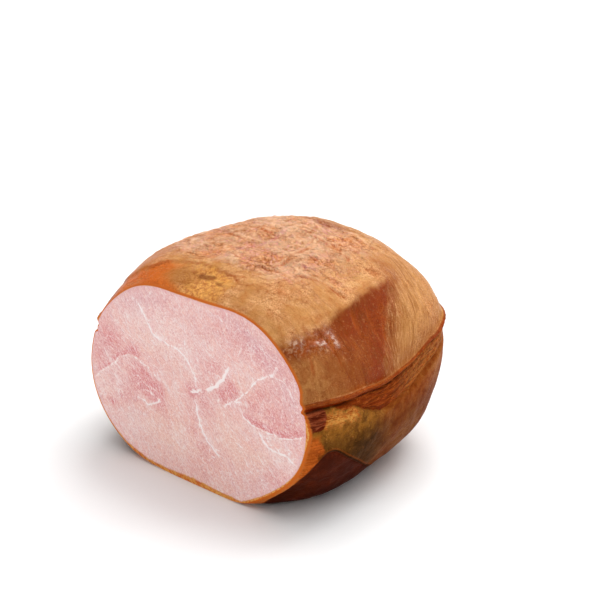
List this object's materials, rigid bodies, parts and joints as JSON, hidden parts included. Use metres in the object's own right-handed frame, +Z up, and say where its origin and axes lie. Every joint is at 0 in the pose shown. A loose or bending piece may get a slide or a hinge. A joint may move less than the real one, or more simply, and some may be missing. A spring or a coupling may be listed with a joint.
{
  "type": "smoked ham",
  "caption": "Cut half of a boneless smoked ham: a rounded block with a flat pink cut face, a browned skin with a raised seam round its sides, and a flattened underside it rests on.",
  "frame": {"origin": "middle of the bounding box at the height of the surface it rests on", "axes": "+X across the cut face, to the right for someone facing the cut, +Y from the cut face towards the rounded end, +Z up"},
  "size_m": [0.21, 0.1788, 0.144],
  "materials": {
    "smoked_meat": "moist satin browned skin with a pink cut face"
  },
  "bodies": {
    "root": {"ham": "smoked_meat"}
  },
  "joints": []
}
